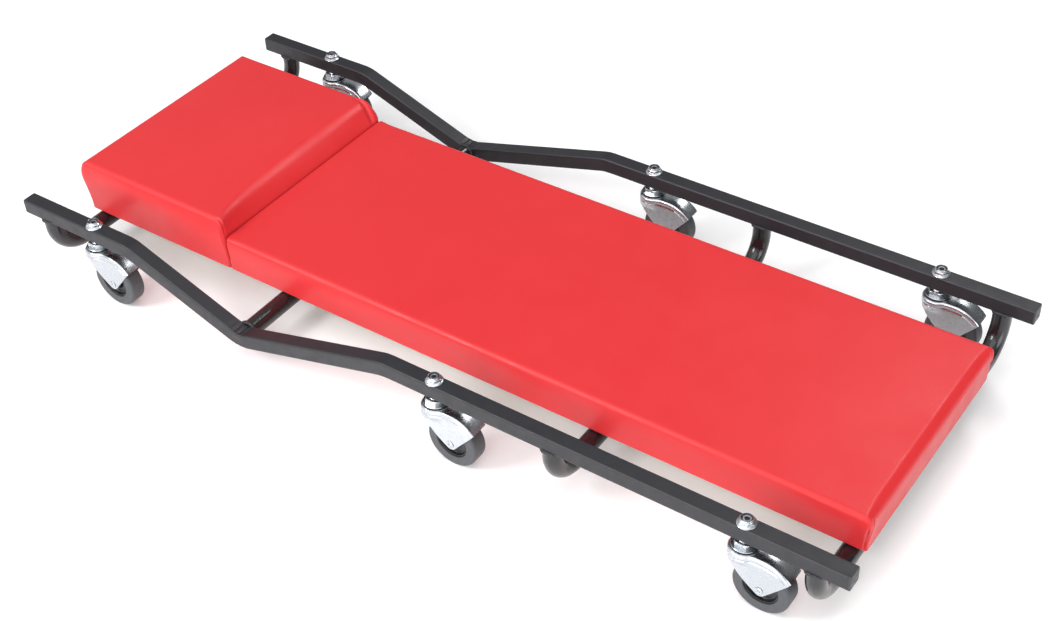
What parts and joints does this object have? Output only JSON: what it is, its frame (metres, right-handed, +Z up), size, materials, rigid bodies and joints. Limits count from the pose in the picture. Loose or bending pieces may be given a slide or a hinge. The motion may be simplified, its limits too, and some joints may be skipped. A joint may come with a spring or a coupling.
{
  "type": "mechanics creeper",
  "caption": "Low rolling creeper: a long red vinyl pad with a raised headrest, on a black square-tube frame whose side rails dip at the waist, carried by swivel casters.",
  "frame": {"origin": "on the floor, under the middle of the frame's length and width", "axes": "+X from the head end to the foot end, +Y from the lying user's right side to the left, +Z up"},
  "size_m": [1.118, 0.479, 0.1184],
  "materials": {
    "black_paint": "satin",
    "gloss_black_paint": "gloss",
    "cap_plastic": "satin",
    "plywood": "matte",
    "foam": "matte",
    "red_vinyl": "satin",
    "zinc": "polished",
    "dark_steel": "satin",
    "black_rubber": "matte"
  },
  "bodies": {
    "frame": {"side_rail_right": "black_paint", "side_rail_left": "black_paint", "rail_end_cap_head_right": "cap_plastic", "rail_end_cap_foot_right": "cap_plastic", "rail_end_cap_head_left": "cap_plastic", "rail_end_cap_foot_left": "cap_plastic", "cross_tube_head": "gloss_black_paint", "cross_tube_waist": "gloss_black_paint", "cross_tube_middle": "gloss_black_paint", "cross_tube_foot": "gloss_black_paint", "pad_board": "plywood", "headrest_foam": "foam", "body_foam": "foam", "headrest_cover": "red_vinyl", "body_cover": "red_vinyl", "pad_screw_head_right": "zinc", "pad_screw_head_left": "zinc", "pad_screw_waist_right": "zinc", "pad_screw_waist_left": "zinc", "pad_screw_middle_right": "zinc", "pad_screw_middle_left": "zinc", "pad_screw_foot_right": "zinc", "pad_screw_foot_left": "zinc", "caster_head_right_lock_nut": "zinc", "caster_head_right_stem": "zinc", "caster_head_right_race": "dark_steel", "caster_head_left_lock_nut": "zinc", "caster_head_left_stem": "zinc", "caster_head_left_race": "dark_steel", "caster_middle_right_lock_nut": "zinc", "caster_middle_right_stem": "zinc", "caster_middle_right_race": "dark_steel", "caster_middle_left_lock_nut": "zinc", "caster_middle_left_stem": "zinc", "caster_middle_left_race": "dark_steel", "caster_foot_right_lock_nut": "zinc", "caster_foot_right_stem": "zinc", "caster_foot_right_race": "dark_steel", "caster_foot_left_lock_nut": "zinc", "caster_foot_left_stem": "zinc", "caster_foot_left_race": "dark_steel"},
    "caster_head_right_swivel_body": {"caster_head_right_fork": "zinc", "caster_head_right_axle": "zinc"},
    "caster_head_right_wheel_body": {"caster_head_right_wheel": "black_rubber"},
    "caster_head_left_swivel_body": {"caster_head_left_fork": "zinc", "caster_head_left_axle": "zinc"},
    "caster_head_left_wheel_body": {"caster_head_left_wheel": "black_rubber"},
    "caster_middle_right_swivel_body": {"caster_middle_right_fork": "zinc", "caster_middle_right_axle": "zinc"},
    "caster_middle_right_wheel_body": {"caster_middle_right_wheel": "black_rubber"},
    "caster_middle_left_swivel_body": {"caster_middle_left_fork": "zinc", "caster_middle_left_axle": "zinc"},
    "caster_middle_left_wheel_body": {"caster_middle_left_wheel": "black_rubber"},
    "caster_foot_right_swivel_body": {"caster_foot_right_fork": "zinc", "caster_foot_right_axle": "zinc"},
    "caster_foot_right_wheel_body": {"caster_foot_right_wheel": "black_rubber"},
    "caster_foot_left_swivel_body": {"caster_foot_left_fork": "zinc", "caster_foot_left_axle": "zinc"},
    "caster_foot_left_wheel_body": {"caster_foot_left_wheel": "black_rubber"}
  },
  "joints": [
    {"name": "caster_head_right_swivel", "type": "hinge", "parent": "frame", "child": "caster_head_right_swivel_body", "pos_m": [-0.443, -0.222, 0.0723], "axis": [0, 0, 1], "continuous": true},
    {"name": "caster_head_right_roll", "type": "hinge", "parent": "caster_head_right_swivel_body", "child": "caster_head_right_wheel_body", "pos_m": [-0.4193, -0.222, 0.03175], "axis": [0, 1, 0], "continuous": true},
    {"name": "caster_head_left_swivel", "type": "hinge", "parent": "frame", "child": "caster_head_left_swivel_body", "pos_m": [-0.443, 0.222, 0.0723], "axis": [0, 0, 1], "continuous": true},
    {"name": "caster_head_left_roll", "type": "hinge", "parent": "caster_head_left_swivel_body", "child": "caster_head_left_wheel_body", "pos_m": [-0.4193, 0.222, 0.03175], "axis": [0, 1, 0], "continuous": true},
    {"name": "caster_middle_right_swivel", "type": "hinge", "parent": "frame", "child": "caster_middle_right_swivel_body", "pos_m": [0.071, -0.222, 0.0723], "axis": [0, 0, 1], "continuous": true},
    {"name": "caster_middle_right_roll", "type": "hinge", "parent": "caster_middle_right_swivel_body", "child": "caster_middle_right_wheel_body", "pos_m": [0.0947, -0.222, 0.03175], "axis": [0, 1, 0], "continuous": true},
    {"name": "caster_middle_left_swivel", "type": "hinge", "parent": "frame", "child": "caster_middle_left_swivel_body", "pos_m": [0.071, 0.222, 0.0723], "axis": [0, 0, 1], "continuous": true},
    {"name": "caster_middle_left_roll", "type": "hinge", "parent": "caster_middle_left_swivel_body", "child": "caster_middle_left_wheel_body", "pos_m": [0.0947, 0.222, 0.03175], "axis": [0, 1, 0], "continuous": true},
    {"name": "caster_foot_right_swivel", "type": "hinge", "parent": "frame", "child": "caster_foot_right_swivel_body", "pos_m": [0.445, -0.222, 0.0723], "axis": [0, 0, 1], "continuous": true},
    {"name": "caster_foot_right_roll", "type": "hinge", "parent": "caster_foot_right_swivel_body", "child": "caster_foot_right_wheel_body", "pos_m": [0.4687, -0.222, 0.03175], "axis": [0, 1, 0], "continuous": true},
    {"name": "caster_foot_left_swivel", "type": "hinge", "parent": "frame", "child": "caster_foot_left_swivel_body", "pos_m": [0.445, 0.222, 0.0723], "axis": [0, 0, 1], "continuous": true},
    {"name": "caster_foot_left_roll", "type": "hinge", "parent": "caster_foot_left_swivel_body", "child": "caster_foot_left_wheel_body", "pos_m": [0.4687, 0.222, 0.03175], "axis": [0, 1, 0], "continuous": true}
  ]
}
